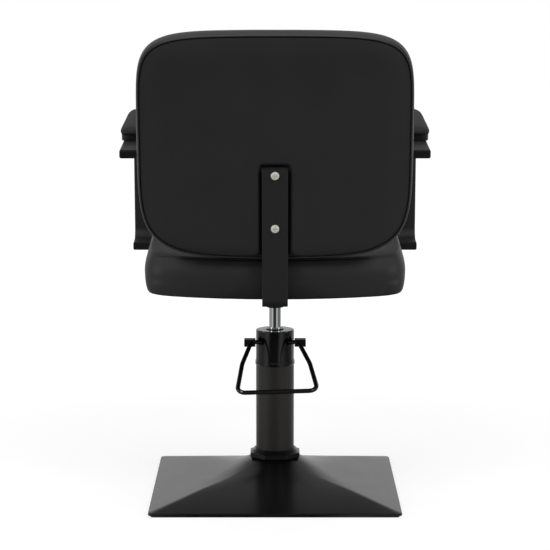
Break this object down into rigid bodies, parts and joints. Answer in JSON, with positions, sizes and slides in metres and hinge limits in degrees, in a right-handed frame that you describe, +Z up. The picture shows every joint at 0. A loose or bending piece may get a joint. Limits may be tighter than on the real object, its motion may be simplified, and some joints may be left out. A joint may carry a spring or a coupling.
{
  "type": "hairdressing chair",
  "caption": "Padded salon chair with arm rests on a hydraulic column with a foot pedal and a flared square base; the seat lifts and swivels.",
  "frame": {"origin": "on the floor, at the centre of the base plate's underside and on the column's axis", "axes": "+Z up along the column, -Y the way the sitter faces, +X to the sitter's left"},
  "size_m": [0.601, 0.634, 0.916],
  "materials": {
    "powder_coat": "satin",
    "gloss_enamel": "gloss",
    "vinyl": "satin",
    "chrome": "polished",
    "zinc": "satin",
    "steel": "satin",
    "bronze": "satin",
    "plastic": "matte",
    "rubber": "matte",
    "plywood": "matte"
  },
  "bodies": {
    "base": {"base_cover": "powder_coat", "base_plate": "powder_coat", "base_lock_nut": "powder_coat", "pump_outer_tube": "powder_coat", "pump_bottom_plug": "steel", "pump_inner_cylinder": "steel", "cylinder_gland": "bronze", "pump_head": "gloss_enamel", "rod_wiper": "rubber", "pump_barrel": "steel", "plunger_spring": "steel"},
    "piston": {"ram_piston": "steel", "ram_seal_ring": "rubber"},
    "seat": {"seat_plate": "powder_coat", "ram_socket": "powder_coat", "back_bracket": "powder_coat", "seat_cushion": "vinyl", "backrest_cushion": "vinyl", "backrest_panel": "vinyl", "ram_rod": "chrome", "upper_back_screw": "zinc", "lower_back_screw": "zinc", "front_bracket_bolt": "zinc", "rear_bracket_bolt": "zinc", "seat_board": "plywood", "left_arm_frame": "powder_coat", "left_rear_arm_bolt": "powder_coat", "left_front_arm_bolt": "powder_coat", "left_rail_plug": "plastic", "left_foot_plug": "plastic", "left_pad_base": "plastic", "left_arm_pad": "vinyl", "left_front_pad_screw": "zinc", "left_rear_pad_screw": "zinc", "left_front_plate_bolt": "zinc", "left_rear_plate_bolt": "zinc", "right_arm_frame": "powder_coat", "right_rear_arm_bolt": "powder_coat", "right_front_arm_bolt": "powder_coat", "right_rail_plug": "plastic", "right_foot_plug": "plastic", "right_pad_base": "plastic", "right_arm_pad": "vinyl", "right_front_pad_screw": "zinc", "right_rear_pad_screw": "zinc", "right_front_plate_bolt": "zinc", "right_rear_plate_bolt": "zinc"},
    "pedal": {"pedal_shaft": "gloss_enamel", "pedal_cam": "steel", "pedal_bail": "gloss_enamel", "left_pedal_block": "gloss_enamel", "left_block_screw": "steel", "right_pedal_block": "gloss_enamel", "right_block_screw": "steel"},
    "plunger": {"pump_plunger": "steel"}
  },
  "joints": [
    {"name": "lift", "type": "slide", "parent": "base", "child": "piston", "axis": [0, 0, 1], "range_m": [-0.03, 0.12]},
    {"name": "swivel", "type": "hinge", "parent": "piston", "child": "seat", "pos_m": [0, 0, 0.36], "axis": [0, 0, 1], "continuous": true},
    {"name": "pedal", "type": "hinge", "parent": "base", "child": "pedal", "pos_m": [0, 0.022, 0.298], "axis": [1, 0, 0], "range_deg": [-26, 0], "stiffness_Nm_per_rad": 4, "springref_deg": 22.92},
    {"name": "plunger_stroke", "type": "slide", "parent": "base", "child": "plunger", "axis": [0, 0, 1], "range_m": [-0.0014, 0], "deforming": ["plunger_spring"]}
  ],
  "couplings": [
    {"joint": "plunger_stroke", "follows": "pedal", "m_per_rad": 0.003}
  ]
}
